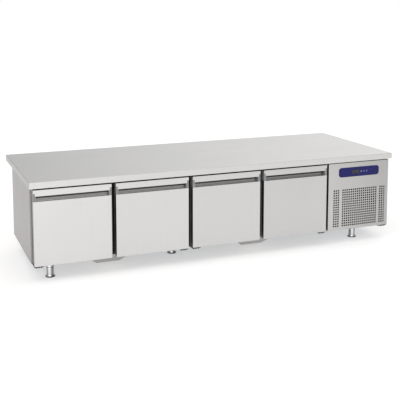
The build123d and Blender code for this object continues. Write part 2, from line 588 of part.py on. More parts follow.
# ------------------------------------------------------------------ machine compartment
def condenser(evaporator_motors):
    """Finned coil, shroud, fan and motor, just behind the front grille."""
    x = (COIL_X0 + COIL_X1) / 2
    z = (COIL_Z0 + COIL_Z1) / 2
    fins = []
    for i in range(COIL_FINS):
        fin_x = COIL_X0 + FIN_PITCH * i
        fins.append(block(fin_x, fin_x + FIN_T, COIL_Y0, COIL_Y1, COIL_Z0, COIL_Z1))
    tubes = []
    for dy in COIL_TUBE_Y:
        for row in range(COIL_ROWS):
            tube_z = COIL_Z0 + COIL_ROW_Z + COIL_ROW_PITCH * row
            tubes.append(rod_x(COIL_X0 - COIL_TUBE_END, COIL_X1 + COIL_TUBE_END, COIL_Y0 + dy, tube_z, TUBE_R))
    save("condenser_coil", fins[0] + fins[1:] + tubes)

    x0, x1, top = COIL_X0 - SHROUD_MARGIN, COIL_X1 + SHROUD_MARGIN, COIL_Z1 + SHROUD_HEAD
    shroud = block(x0, x1, COIL_Y1, SHROUD_Y1, DECK, top)
    shroud -= block(x0 + SHROUD_T, x1 - SHROUD_T, COIL_Y1, SHROUD_Y1 - SHROUD_T, DECK, top - SHROUD_T)
    shroud -= rod_y(x, COIL_Y1, SHROUD_Y1, z, CONDENSER_FAN_R + CONDENSER_FAN_PLAY)
    save("fan_shroud", shroud)

    motor_y = SHROUD_Y1 + MOTOR_GAP
    strut_y = motor_y + STRUT_BACK
    motor = rod_y(x, motor_y, motor_y + MOTOR_L, z, MOTOR_R)
    motor += rod_y(x, motor_y - MOTOR_SHAFT, motor_y, z, SHAFT_R)
    motor += block(x - STRUT_X, x + STRUT_X, strut_y, strut_y + STRUT_T, z - STRUT_H, z + STRUT_H)
    for end0, end1 in ((x - STRUT_X, x - STRUT_X + STRUT_T), (x + STRUT_X - STRUT_T, x + STRUT_X)):
        motor += block(end0, end1, SHROUD_Y1, strut_y + STRUT_T, z - STRUT_H, z + STRUT_H)
    save("fan_motors", motor, *evaporator_motors)
    wheel = fan(CONDENSER_FAN_R, CONDENSER_HUB_R, CONDENSER_FAN_T, CONDENSER_TWIST)
    save("condenser_fan", Pos(x, motor_y - FAN_AHEAD, z) * Rot(90, 0, 0) * wheel)


def compressor():
    cx, cy = COMPRESSOR_X, COMPRESSOR_Y
    low = DECK + COMPRESSOR_LIFT
    can = rod_z(cx, cy, low, low + COMPRESSOR_H, COMPRESSOR_R)
    can = fillet(can.edges().filter_by(GeomType.CIRCLE), COMPRESSOR_ROUND)
    can += block(cx - PLATE_X, cx + PLATE_X, cy - PLATE_Y, cy + PLATE_Y, low - PLATE_LOW, low + PLATE_HIGH)
    for dx in (-GROMMET_X, GROMMET_X):
        for dy in (-GROMMET_Y, GROMMET_Y):
            can += rod_z(cx + dx, cy + dy, DECK, low - PLATE_LOW, GROMMET_R)
    can += block(cx + TERMINAL_X[0], cx + TERMINAL_X[1], cy - TERMINAL_Y, cy + TERMINAL_Y,
                 low + TERMINAL_Z[0], low + TERMINAL_Z[1])
    save("compressor", can)


def refrigerant_pipes():
    cx, cy = COMPRESSOR_X, COMPRESSOR_Y
    top = DECK + COMPRESSOR_LIFT + COMPRESSOR_H
    coil_y = COIL_Y0 + COIL_TUBE_Y[-1]
    first_tube = COIL_Z0 + COIL_ROW_Z
    last_tube = first_tube + COIL_ROW_PITCH * (COIL_ROWS - 1)
    port_y = cy + DISCHARGE_DY
    discharge = [(cx, port_y, top), (cx, port_y, last_tube), (DISCHARGE_X, port_y, last_tube),
                 (DISCHARGE_X, coil_y, last_tube), (COIL_X0 - COIL_TUBE_END, coil_y, last_tube)]
    port_x, port_y, high = cx + SUCTION_DX, cy + SUCTION_DY, top + SUCTION_RISE
    suction = [(port_x, port_y, top), (port_x, port_y, high), (MACHINE_X, port_y, high)]
    liquid = [(COIL_X1 + COIL_TUBE_END, coil_y, first_tube), (LIQUID_X, coil_y, first_tube),
              (LIQUID_X, LIQUID_Y, first_tube), (LIQUID_X, LIQUID_Y, DRIER_Z[0])]
    pipes = []
    runs = ((discharge, PRESSURE_PIPE), (suction, SUCTION_PIPE), (liquid, PRESSURE_PIPE))
    for points, (radius, bend) in runs:
        path = FilletPolyline(*points, radius=bend)
        section = Plane(origin=path @ 0, z_dir=path % 0) * Circle(radius)
        pipes.append(sweep(section, path=path))
    save("refrigerant_pipes", *pipes, rod_z(LIQUID_X, LIQUID_Y, *DRIER_Z, DRIER_R))


def electrics_and_tray():
    save("electrical_box", block(ELECTRICS_X, SIDE_X - SHEET, *ELECTRICS_Y, *ELECTRICS_Z))
    (x0, x1), (y0, y1), top = PAN_X, PAN_Y, DECK + PAN_H
    tray = block(x0, x1, y0, y1, DECK, top)
    tray -= block(x0 + PAN_T, x1 - PAN_T, y0 + PAN_T, y1 - PAN_T, DECK + PAN_T, top)
    save("evaporation_tray", tray)


def machine_panel():
    rear = FACE + PANEL_RETURN
    pan = block(PANEL_X0, PANEL_X1, FACE, rear, PANEL_Z0, PANEL_Z1)
    pan = fillet([edge for edge in pan.edges() if edge.center().Y < rear - 1], EDGE_R)
    pan -= block(PANEL_X0 + SHEET, PANEL_X1 - SHEET, FACE + SHEET, rear, PANEL_Z0 + SHEET, PANEL_Z1 - SHEET)
    holes = []
    for start, columns in zip(GRILLE_STARTS, GRILLE_COLUMNS):
        for column in range(columns):
            x = GRILLE_MID + start + column * HOLE_PITCH
            for row in range(GRILLE_ROWS):
                z = GRILLE_Z0 + row * HOLE_PITCH
                holes.append(block(x, x + HOLE, FACE, FACE + SHEET, z, z + HOLE))
    pan -= holes
    half_x, half_z = HOUSING_X + HOUSING_PLAY, HOUSING_Z + HOUSING_PLAY
    pan -= block(CONTROL_X - half_x, CONTROL_X + half_x, FACE, FACE + SHEET,
                 CONTROL_Z - half_z, CONTROL_Z + half_z)
    pivot = PANEL_X1 - PIVOT_IN
    pan -= rod_z(pivot, PIVOT_Y, PANEL_Z0, PANEL_Z1, PIN_HOLE_R)
    inner = PANEL_X1 - SHEET
    for low, high in ((PANEL_Z0 + SHEET, PANEL_Z0 + BUSH_H), (PANEL_Z1 - BUSH_H, PANEL_Z1 - SHEET)):
        bush = block(inner - PANEL_BUSH_W, inner, FACE + SHEET, rear, low, high)
        pan += bush - rod_z(pivot, PIVOT_Y, low, high, PIN_R + PIN_PLAY)
    save("machine_panel", pan)


def controls():
    """Control panel with its housing, the display window let into it and three keys."""
    x, z = CONTROL_X, CONTROL_Z
    front = FACE - CONTROL_T
    plate = Pos(x, FACE, z) * extrude(Plane.XZ * RectangleRounded(CONTROL_W, CONTROL_H, CONTROL_R), CONTROL_T)
    plate = fillet(edges_front(plate, front), CONTROL_EDGE)
    body = plate + block(x - HOUSING_X, x + HOUSING_X, FACE, FACE + HOUSING_DEPTH, z - HOUSING_Z, z + HOUSING_Z)

    wx0, wx1 = x + WINDOW_DX - WINDOW_W / 2, x + WINDOW_DX + WINDOW_W / 2
    wz0, wz1 = z - WINDOW_H / 2, z + WINDOW_H / 2
    body -= block(wx0, wx1, front, front + WINDOW_T, wz0, wz1)
    save("display_window", block(wx0, wx1, front - WINDOW_PROUD, front + WINDOW_T, wz0, wz1))

    half = KEY / 2
    well = half + KEY_GAP
    floor = front + KEY_DEPTH
    for name, dx in KEY_X.items():
        body -= block(x + dx - well, x + dx + well, front, floor + KEY_PROUD, z - well, z + well)
        key = block(x + dx - half, x + dx + half, front - KEY_PROUD, floor, z - half, z + half)
        rounded = [edge for edge in key.edges() if edge.center().Y < floor - 1]
        save(name, fillet(rounded, KEY_EDGE))
    save("control_panel", body)


def main():
    os.makedirs(PARTS, exist_ok=True)
    worktop()
    side_panels()
    back_wall()
    base_sheets()
    insulation()
    inner_liner()
    front_frame()
    drains()
    feet()
    for number in range(DOORS):
        door(number)
    hinge_brackets()
    shelves()
    shelf_rails()
    condenser(evaporators())
    compressor()
    refrigerant_pipes()
    electrics_and_tray()
    machine_panel()
    controls()


main()
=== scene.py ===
import math

import bmesh
import bpy
from mathutils import Matrix, Vector


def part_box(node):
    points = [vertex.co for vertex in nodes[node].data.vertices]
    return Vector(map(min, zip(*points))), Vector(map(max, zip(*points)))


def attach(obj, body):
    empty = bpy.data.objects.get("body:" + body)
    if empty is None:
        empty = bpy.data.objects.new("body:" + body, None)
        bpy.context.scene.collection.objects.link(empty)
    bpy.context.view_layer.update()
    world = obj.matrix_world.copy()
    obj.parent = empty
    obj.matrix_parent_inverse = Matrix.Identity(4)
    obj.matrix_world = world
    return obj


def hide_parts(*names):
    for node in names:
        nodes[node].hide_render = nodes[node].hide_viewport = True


# Looks of a low four-door refrigerated counter. Metres, X along the front, Y to the back, Z up.

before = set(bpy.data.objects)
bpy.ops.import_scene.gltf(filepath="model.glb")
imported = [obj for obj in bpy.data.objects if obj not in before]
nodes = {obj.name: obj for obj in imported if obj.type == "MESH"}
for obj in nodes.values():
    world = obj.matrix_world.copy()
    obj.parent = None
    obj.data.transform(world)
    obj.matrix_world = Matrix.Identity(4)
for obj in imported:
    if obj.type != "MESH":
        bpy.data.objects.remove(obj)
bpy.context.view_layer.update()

# ---- camera
CAMERA_AT = (-1.7671, -4.4100, 1.4524)
CAMERA_YAW, CAMERA_PITCH = 0.381, 0.1212        # radians, to the right and down
CAMERA_LENS, CAMERA_SENSOR = 70.53, 36.0        # millimetres
CAMERA_SHIFT_Y = -0.25                          # as a share of the picture's width

# ---- studio
FLOOR_HALF = 60.0
FLOOR_GLOW, FLOOR_TONE = 0.38, 0.74
# The sky's strength is a base plus a factor times each of x, y, x times y and z, kept within limits.
SKY_BASE, SKY_SIDE, SKY_BACK, SKY_TURN, SKY_TOP = 0.93, -0.22, -0.42, 1.35, 0.1
SKY_LEAST, SKY_MOST = 0.3, 1.25
SOFT_BOXES = {                                  # place, target, width and height, watts
    "overhead": ((0.2, -0.6, 4.2), (0, 0, 0), (5.0, 3.0), 10.0),
    "key_front_left": ((-2.6, -5.0, 1.6), (-0.6, 0, 0.3), (4.0, 3.2), 45.0),
}

# ---- doors
# Painted shade: the doors' steel is tinted darker from door 1 to door 4, left to right.
DOOR_STEEL, DOOR_PAINTED_SHADES = (0.645, 0.64, 0.637), {1: 1.0, 2: 0.97, 3: 0.93, 4: 0.87}
DOOR_HINGE_SIDES = {1: -1, 2: 1, 3: -1, 4: 1}   # -1 is hinged at its left edge, 1 at its right
DOOR_FRONT, DOOR_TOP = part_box("door_1_skin")[0].y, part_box("door_1_skin")[1].z
CHANNEL_FLOOR_Z, CHANNEL_TOLERANCE = DOOR_TOP - 0.062, 0.001
CHANNEL_SHADE_Z = (DOOR_TOP - 0.051, DOOR_TOP - 0.046)   # painted shade: from grey to the painted shadow under the lip
CHANNEL_PAINTED_SHADES = (0.42, 0.05)                             # painted shade factors below and above those heights
FOLD_Y = (DOOR_FRONT + 0.0012, DOOR_FRONT + 0.004)       # where painted shade on a folded side starts, behind the front face
GASKET_CORNER, RIB_CORNER, RIB_INSETS = 0.006, 0.03, (0.046, 0.085)
RIB_SECTION = ((0, -0.0005), (0.003, 0.002), (0.006, 0.003),    # inset, and height above the inner panel
               (0.010, 0.003), (0.013, 0.002), (0.016, -0.0005))

# ---- painted light and shade on other steel: factors on faces that look to -X and to +X, and along the machine panel
WORKTOP_PAINTED_SHADE, RIGHT_SIDE_PAINTED_SHADE = (0.62, 0.8), (0.08, 1.0)
PANEL_PAINTED_SHADE = (0.69, 1.10, 1.06, 0.86)           # painted shade: left and right X, then the factors there
TUBE_PAINTED_REFLECTION = ((0.08, 0.33), (0.2, 1.0), (0.42, 1.0), (0.62, 0.33))    # painted reflection and shade: place from -X to +X, factor
FRAME_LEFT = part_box("front_frame")[0].x
FRAME_END_X, FRAME_PAINTED_LIGHT_AND_SHADE = (FRAME_LEFT + 0.008, FRAME_LEFT + 0.012), (0.4, 0.03)    # X, and the painted greys there: lit at the left end, in shade to the right

# ---- feet
FEET = ("front_left", "front_right", "middle_front", "middle_rear", "rear_left", "rear_right")
PAD_SECTION = ((-0.001, 0.0), (0.0012, 0.0), (0.0018, 0.0015),  # radius past the foot's own, height
               (0.0016, 0.0032), (0.0004, 0.0042), (-0.001, 0.0042))
COLLAR_SECTIONS = (                             # radius and height, of the upper and the lower collar
    ((0.0185, 0.043), (0.0196, 0.0436), (0.0202, 0.0446), (0.0202, 0.0494), (0.0196, 0.0504),
     (0.0185, 0.051)),
    ((0.0185, 0.009), (0.0208, 0.0092), (0.0204, 0.0112), (0.0185, 0.0116)),
)

# ---- bolts and screws: radius and height of a head, and where the heads are
BRACKET_BOLT, FLANGE_BOLT, SCREW = (0.0055, 0.0055), (0.0065, 0.005), (0.0045, 0.0026)
BRACKET_BOLTS, BOLT_INSET, BOLT_STEP = 3, 0.0108, 0.0135
BOLT_Y = DOOR_FRONT + 0.015
FLANGE_THICKNESS, FLANGE_HOLE = 0.003, 0.035    # a hole's distance from the leg's axis, along X and along Y
GRILLE_INSET = 0.0075
BACK_SCREWS, BACK_INSET_X, BACK_INSET_Z = 9, 0.03, 0.014
DOWN, BACKWARDS = (0, 0, -1), (0, 1, 0)

# ---- sheet over the bulkhead's foam: thickness, and the half widths and height of its ribs
SHEET, RIB_FOOT, RIB_FLAT, RIB_HEIGHT, SHEET_RIBS = 0.0008, 0.012, 0.006, 0.003, 4
SHEET_BELOW, SHEET_ABOVE, SHEET_SIDE = 0.011, 0.0005, 0.001     # how far the sheet stays inside the foam
BULKHEAD_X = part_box("insulation_slabs")[1].x

# ---- condenser coil: columns and rows of tubes from its front lower edge, and the rows that the bends of its
# left end, -1, and of its right end, 1, start at
COIL_COLUMNS, COIL_ROW, COIL_PITCH, TUBE_R = (0.015, 0.035), 0.025, 0.040, 0.005
BENDS = {-1: (1, 3), 1: (2, 4)}

# ---- control panel
DIGIT_H, DIGIT_W, DIGIT_STROKE, DIGIT_GAP, SEGMENT_GAP = 0.0175, 0.0105, 0.0024, 0.0065, 0.0002
DIGITS = "04.0"
SEGMENTS = {"0": "abcdef", "4": "bcfg"}
DIGIT_PROUD, MARK_PROUD, MARK_DEPTH = 0.00015, 0.00012, 0.0002
MARK = 0.0038                                   # half size of the mark on a key


# ------------------------------------------------------------------ node material helpers
def math_node(tree, operation, *values):
    """A Math node whose values are numbers or other nodes' outputs."""
    node = tree.nodes.new("ShaderNodeMath")
    node.operation = operation
    for value, socket in zip(values, node.inputs):
        if isinstance(value, (int, float)):
            socket.default_value = value
        else:
            tree.links.new(value, socket)
    return node.outputs["Value"]


class Shader:
    """A small wrapper that adds nodes to one material and links them."""

    def __init__(self, name, metallic=0.0, specular=0.5, coat=0.0, sheen=0.0):
        self.material = bpy.data.materials.new(name)
        self.material.use_nodes = True
        self.tree = self.material.node_tree
        self.bsdf = self.tree.nodes["Principled BSDF"]
        self.bsdf.inputs["Metallic"].default_value = metallic
        self.bsdf.inputs["Specular IOR Level"].default_value = specular
        self.bsdf.inputs["Coat Weight"].default_value = coat
        self.bsdf.inputs["Sheen Weight"].default_value = sheen
        self.place = self.add("ShaderNodeTexCoord").outputs["Object"]

    def add(self, kind, **settings):
        node = self.tree.nodes.new(kind)
        for key, value in settings.items():
            setattr(node, key, value)
        return node

    def link(self, output, target):
        self.tree.links.new(output, target)

    def scaled(self, scale):
        """Object coordinates stretched by scale, so that a large number makes fine detail along that axis."""
        mapping = self.add("ShaderNodeMapping")
        mapping.inputs["Scale"].default_value = scale
        self.link(self.place, mapping.inputs["Vector"])
        return mapping.outputs["Vector"]

    def noise(self, scale, detail=3.0, roughness=0.55, distortion=0.0):
        node = self.add("ShaderNodeTexNoise")
        node.inputs["Scale"].default_value = 1.0
        node.inputs["Detail"].default_value = detail
        node.inputs["Roughness"].default_value = roughness
        node.inputs["Distortion"].default_value = distortion
        self.link(self.scaled(scale), node.inputs["Vector"])
        return node.outputs["Fac"]

    def cells(self, scale, output="Distance"):
        node = self.add("ShaderNodeTexVoronoi")
        node.inputs["Scale"].default_value = 1.0
        self.link(self.scaled(scale), node.inputs["Vector"])
        return node.outputs[output]

    def flakes(self, scale):
        """Flat patches, each of its own grey."""
        grey = self.add("ShaderNodeRGBToBW")
        self.link(self.cells(scale, "Color"), grey.inputs["Color"])
        return grey.outputs["Val"]

    def spread(self, value, low, high, start=0.3, end=0.7):
        """value from start..end mapped to low..high."""
        node = self.add("ShaderNodeMapRange")
        node.inputs["From Min"].default_value = start
        node.inputs["From Max"].default_value = end
        node.inputs["To Min"].default_value = low
        node.inputs["To Max"].default_value = high
        self.link(value, node.inputs["Value"])
        return node.outputs["Result"]

    def math(self, operation, *values):
        return math_node(self.tree, operation, *values)

    def mixed(self, a, share, b):
        """share of a, and the rest of b."""
        return self.math("ADD", self.math("MULTIPLY", a, share), self.math("MULTIPLY", b, 1 - share))

    def ramp(self, value, stops):
        """A colour ramp with (place, colour) stops."""
        node = self.add("ShaderNodeValToRGB")
        elements = node.color_ramp.elements
        while len(elements) < len(stops):
            elements.new(0.5)
        for element, (place, colour) in zip(elements, stops):
            element.position = place
            element.color = (*colour, 1.0)
        self.link(value, node.inputs["Fac"])
        return node.outputs["Color"]

    def times(self, colour, grey, factor=1.0):
        """colour times grey, by as much as factor, a number or another node's output, says."""
        mix = self.add("ShaderNodeMix", data_type="RGBA", blend_type="MULTIPLY")
        if isinstance(factor, float):
            mix.inputs["Factor"].default_value = factor
        else:
            self.link(factor, mix.inputs["Factor"])
        self.link(colour, mix.inputs["A"])
        self.link(grey, mix.inputs["B"])
        return mix.outputs["Result"]

    def axes(self, place):
        split = self.add("ShaderNodeSeparateXYZ")
        self.link(place, split.inputs["Vector"])
        return split.outputs

    def painted_door_shade(self, colour):
        """Painted shade: colour, darker behind the front face of a door, and darkest under the lip of its
        finger channel, where shade falls. The floor of the channel stays bright."""
        place = self.axes(self.place)
        lip_painted_shadow = self.spread(place["Z"], *CHANNEL_PAINTED_SHADES, *CHANNEL_SHADE_Z)
        ledge = self.math("COMPARE", place["Z"], CHANNEL_FLOOR_Z, CHANNEL_TOLERANCE)
        behind = self.spread(place["Y"], 0.0, 1.0, *FOLD_Y)
        behind = self.math("MULTIPLY", behind, self.math("SUBTRACT", 1.0, ledge))
        return self.times(colour, lip_painted_shadow, behind)

    def shaded_by_side(self, colour, stops):
        """Painted light and shade: colour times a grey that depends on where a face looks: place 0 is to -X and
        place 1 is to +X.
        """
        facing = self.axes(self.add("ShaderNodeTexCoord").outputs["Normal"])
        side = self.spread(facing["X"], 0.0, 1.0, -1.0, 1.0)
        return self.times(colour, self.ramp(side, [(place, (grey,) * 3) for place, grey in stops]))

    def painted_shade_along_x(self, colour, x_left, x_right, left, right):
        """Painted shade: colour times left at x_left, and times right at x_right, with an even change between
        them.
        """
        return self.times(colour, self.spread(self.axes(self.place)["X"], left, right, x_left, x_right))

    def colour(self, output):
        self.link(output, self.bsdf.inputs["Base Color"])

    def rough(self, output):
        self.link(output, self.bsdf.inputs["Roughness"])

    def bump(self, *layers):
        """Layers of (height, strength, distance in metres), each on top of the one before."""
        normal = None
        for height, strength, distance in layers:
            node = self.add("ShaderNodeBump")
            node.inputs["Strength"].default_value = strength
            node.inputs["Distance"].default_value = distance
            self.link(height, node.inputs["Height"])
            if normal:
                self.link(normal, node.inputs["Normal"])
            normal = node.outputs["Normal"]
        self.link(normal, self.bsdf.inputs["Normal"])


def tint(colour, factor):
    return tuple(min(1.0, channel * factor) for channel in colour)


# ------------------------------------------------------------------ materials
def brushed_steel(name, grain, colour=(0.63, 0.625, 0.62), roughness=0.33, streak=0.02, returns=False,
                  ends=None, fade=None):
    """Satin stainless sheet, brushed along grain, the axis 0, 1 or 2. With returns, a door's folded sides
    and its finger channel are darker, as painted shade. ends is a pair of painted-shade factors for faces
    that look to -X and to +X. fade is a left and a right X, and the painted-shade factors there."""
    shader = Shader(name, metallic=1.0)

    def along(fine, long):
        return tuple(long if axis == grain else fine for axis in range(3))

    streaks = shader.noise(along(260.0, 2.5), detail=4.0, roughness=0.65)
    hairlines = shader.noise(along(1500.0, 9.0), detail=2.0, roughness=0.7)
    clouds = shader.noise((2.2, 2.2, 2.2), detail=2.0)
    wiped = shader.noise(along(14.0, 3.0), detail=3.0, distortion=0.6)
    tone = shader.mixed(streaks, 0.55, clouds)
    sheet = shader.ramp(tone, [(0.32, tint(colour, 1 - streak)), (0.5, colour),
                               (0.68, tint(colour, 1 + streak))])
    # Painted shade on a door's folded sides and under the lip of its finger channel.
    if returns:
        sheet = shader.painted_door_shade(sheet)
    # Painted shade on faces that look to -X and to +X.
    if ends:
        sheet = shader.shaded_by_side(sheet, [(0.05, ends[0]), (0.3, 1.0), (0.7, 1.0), (0.95, ends[1])])
    # Painted shade along X.
    if fade:
        sheet = shader.painted_shade_along_x(sheet, *fade)
    shader.colour(sheet)
    shader.rough(shader.spread(shader.mixed(streaks, 0.6, wiped), roughness - 0.05, roughness + 0.06))
    shader.bump((streaks, 0.05, 0.0004), (hairlines, 0.06, 0.0002))
    return shader.material


def frame_steel(name):
    """Steel of the front frame, with painted shade: dark between the doors, where no light reaches, and grey
    at its left end, which is in the light.
    """
    shader = Shader(name, metallic=1.0)
    streaks = shader.noise((2.5, 260.0, 260.0), detail=4.0)
    # Painted shade between the doors, and painted light on the frame's left end.
    lit_end = shader.spread(shader.axes(shader.place)["X"], *FRAME_PAINTED_LIGHT_AND_SHADE, *FRAME_END_X)
    shader.colour(shader.math("MULTIPLY", lit_end, shader.spread(streaks, 0.9, 1.1)))
    shader.rough(shader.spread(streaks, 0.4, 0.52))
    shader.bump((streaks, 0.05, 0.0004))
    return shader.material


def polished_steel(name):
    """Turned and polished tube with faint rings from the lathe, with a painted reflection bright along its
    front and painted shade beside that.
    """
    shader = Shader(name, metallic=1.0)
    rings = shader.noise((60.0, 60.0, 1600.0), detail=2.0)
    clouds = shader.noise((35.0, 35.0, 20.0), detail=3.0)
    steel = shader.ramp(clouds, [(0.3, (0.76, 0.76, 0.765)), (0.7, (0.86, 0.86, 0.865))])
    # Painted reflection and shade: bright along the front of a tube, dark beside it.
    shader.colour(shader.shaded_by_side(steel, TUBE_PAINTED_REFLECTION))
    shader.rough(shader.spread(rings, 0.1, 0.2))
    shader.bump((rings, 0.08, 0.0002))
    return shader.material


def galvanised(name, colour=(0.42, 0.44, 0.46)):
    """Zinc-coated sheet with a spangle of flat crystals."""
    shader = Shader(name, metallic=0.9)
    spangle = shader.flakes((120.0, 120.0, 120.0))
    dust = shader.noise((18.0, 18.0, 18.0), detail=5.0)
    shader.colour(shader.ramp(spangle, [(0.1, tint(colour, 0.93)), (0.9, tint(colour, 1.08))]))
    shader.rough(shader.spread(dust, 0.38, 0.58))
    shader.bump((spangle, 0.08, 0.0002), (dust, 0.05, 0.0003))
    return shader.material


def moulded_plastic(name, colour, roughness):
    """Injection-moulded plastic with a fine spark-eroded grain and faint flow marks."""
    shader = Shader(name)
    grain = shader.noise((1400.0, 1400.0, 1400.0), detail=2.0)
    flow = shader.noise((22.0, 9.0, 14.0), detail=3.0, distortion=0.8)
    shader.colour(shader.ramp(flow, [(0.25, tint(colour, 0.86)), (0.75, tint(colour, 1.12))]))
    shader.rough(shader.spread(flow, roughness - 0.06, roughness + 0.08))
    shader.bump((grain, 0.12, 0.0002), (flow, 0.04, 0.0006))
    return shader.material


def rubber(name, colour):
    """Soft extruded gasket or key rubber: matt, with dust and extrusion lines."""
    shader = Shader(name, specular=0.35, sheen=0.15)
    dust = shader.noise((120.0, 120.0, 120.0), detail=4.0)
    lines = shader.noise((700.0, 700.0, 90.0), detail=2.0)
    shader.colour(shader.ramp(dust, [(0.3, tint(colour, 0.8)), (0.75, tint(colour, 1.3))]))
    shader.rough(shader.spread(dust, 0.62, 0.82))
    shader.bump((lines, 0.15, 0.0002), (dust, 0.08, 0.0003))
    return shader.material


def painted_steel(name, colour, roughness=0.4):
    """Powder coat: a fine orange peel with small thin spots."""
    shader = Shader(name, specular=0.25)
    peel = shader.noise((480.0, 480.0, 480.0), detail=1.0)
    thin = shader.noise((26.0, 26.0, 26.0), detail=4.0)
    shader.colour(shader.ramp(thin, [(0.28, tint(colour, 0.75)), (0.72, tint(colour, 1.35))]))
    shader.rough(shader.spread(thin, roughness - 0.08, roughness + 0.12))
    shader.bump((peel, 0.2, 0.0002))
    return shader.material


def copper(name):
    """Drawn copper tube, browned in patches."""
    shader = Shader(name, metallic=1.0)
    patches = shader.noise((38.0, 38.0, 38.0), detail=5.0, roughness=0.65)
    shader.colour(shader.ramp(patches, [(0.3, (0.28, 0.11, 0.06)), (0.5, (0.72, 0.33, 0.2)),
                                        (0.75, (0.9, 0.5, 0.34))]))
    shader.rough(shader.spread(patches, 0.22, 0.5))
    shader.bump((patches, 0.05, 0.0004))
    return shader.material


def aluminium_fins(name, tone=1.0):
    """Thin rolled fins with grey dust. tone below 1 is for a coil that has been run: it darkens the fins for
    dust and for painted shade, and makes them less metallic.
    """
    shader = Shader(name, metallic=0.9 * tone)
    dust = shader.noise((24.0, 24.0, 60.0), detail=5.0)
    ripple = shader.noise((30.0, 260.0, 260.0), detail=2.0)
    shader.colour(shader.ramp(dust, [(0.3, tint((0.32, 0.32, 0.33), tone)),
                                     (0.7, tint((0.66, 0.67, 0.69), tone))]))
    shader.rough(shader.spread(dust, 0.32, 0.55))
    shader.bump((ripple, 0.2, 0.0004))
    return shader.material


def foam(name):
    """Closed-cell polyurethane, yellowish, with a skin of fine cells."""
    shader = Shader(name, specular=0.3)
    cells = shader.cells((420.0, 420.0, 420.0))
    clouds = shader.noise((12.0, 12.0, 12.0), detail=4.0)
    shader.colour(shader.ramp(clouds, [(0.3, (0.62, 0.5, 0.28)), (0.7, (0.8, 0.69, 0.45))]))
    shader.rough(shader.spread(cells, 0.75, 0.95, 0.0, 0.8))
    shader.bump((cells, 0.5, 0.0008))
    return shader.material


def filler_board(name):
    """Chipboard that stiffens the worktop from below."""
    shader = Shader(name, specular=0.25)
    chips = shader.flakes((150.0, 260.0, 200.0))
    shader.colour(shader.ramp(chips, [(0.1, (0.3, 0.2, 0.11)), (0.5, (0.46, 0.33, 0.19)),
                                      (0.9, (0.58, 0.45, 0.28))]))
    shader.rough(shader.spread(chips, 0.7, 0.9))
    shader.bump((chips, 0.2, 0.0005))
    return shader.material


def overlay(name):
    """Printed blue polyester film with a fine matt texture."""
    shader = Shader(name, specular=0.22)
    texture = shader.noise((2200.0, 2200.0, 2200.0), detail=1.0)
    clouds = shader.noise((30.0, 30.0, 60.0), detail=2.0)
    shader.colour(shader.ramp(clouds, [(0.3, (0.008, 0.0085, 0.085)), (0.7, (0.011, 0.0115, 0.112))]))
    shader.rough(shader.spread(clouds, 0.3, 0.38))
    shader.bump((texture, 0.08, 0.0001))
    return shader.material


def dark_glass(name):
    """Smoked display window with faint wipe marks."""
    shader = Shader(name, specular=0.2, coat=0.08)
    shader.bsdf.inputs["Coat Roughness"].default_value = 0.05
    wiped = shader.noise((60.0, 60.0, 25.0), detail=4.0, distortion=0.5)
    shader.colour(shader.ramp(wiped, [(0.3, (0.008, 0.008, 0.03)), (0.7, (0.014, 0.014, 0.045))]))
    shader.rough(shader.spread(wiped, 0.08, 0.2))
    shader.bump((wiped, 0.02, 0.0003))
    return shader.material


def lit(name, colour, strength):
    """A light-emitting segment, a little uneven over its area."""
    shader = Shader(name, specular=0.12)
    uneven = shader.noise((500.0, 500.0, 500.0), detail=2.0)
    shader.colour(shader.ramp(uneven, [(0.3, tint(colour, 0.5)), (0.7, tint(colour, 0.7))]))
    shader.rough(shader.spread(uneven, 0.35, 0.5))
    shader.bsdf.inputs["Emission Color"].default_value = (*colour, 1.0)
    shader.bsdf.inputs["Emission Strength"].default_value = strength
    return shader.material


def wire_coat(name):
    """Grey-white plastic coat on shelf wire: glossy, with slight runs."""
    shader = Shader(name, coat=0.3)
    runs = shader.noise((90.0, 90.0, 90.0), detail=3.0)
    shader.colour(shader.ramp(runs, [(0.3, (0.55, 0.56, 0.58)), (0.7, (0.68, 0.69, 0.71))]))
    shader.rough(shader.spread(runs, 0.22, 0.38))
    shader.bump((runs, 0.2, 0.0005))
    return shader.material


def studio_floor(name):
    """Plain pale floor with a very faint mottle."""
    shader = Shader(name, specular=0.1)
    mottle = shader.noise((0.6, 0.6, 0.6), detail=3.0)
    tone = (FLOOR_TONE, 0.99 * FLOOR_TONE, 0.985 * FLOOR_TONE)
    shader.colour(shader.ramp(mottle, [(0.3, tint(tone, 0.99)), (0.7, tint(tone, 1.01))]))
    shader.rough(shader.spread(mottle, 0.85, 0.95))
    shader.bsdf.inputs["Emission Color"].default_value = (1.0, 1.0, 1.0, 1.0)
    shader.bsdf.inputs["Emission Strength"].default_value = FLOOR_GLOW
    return shader.material


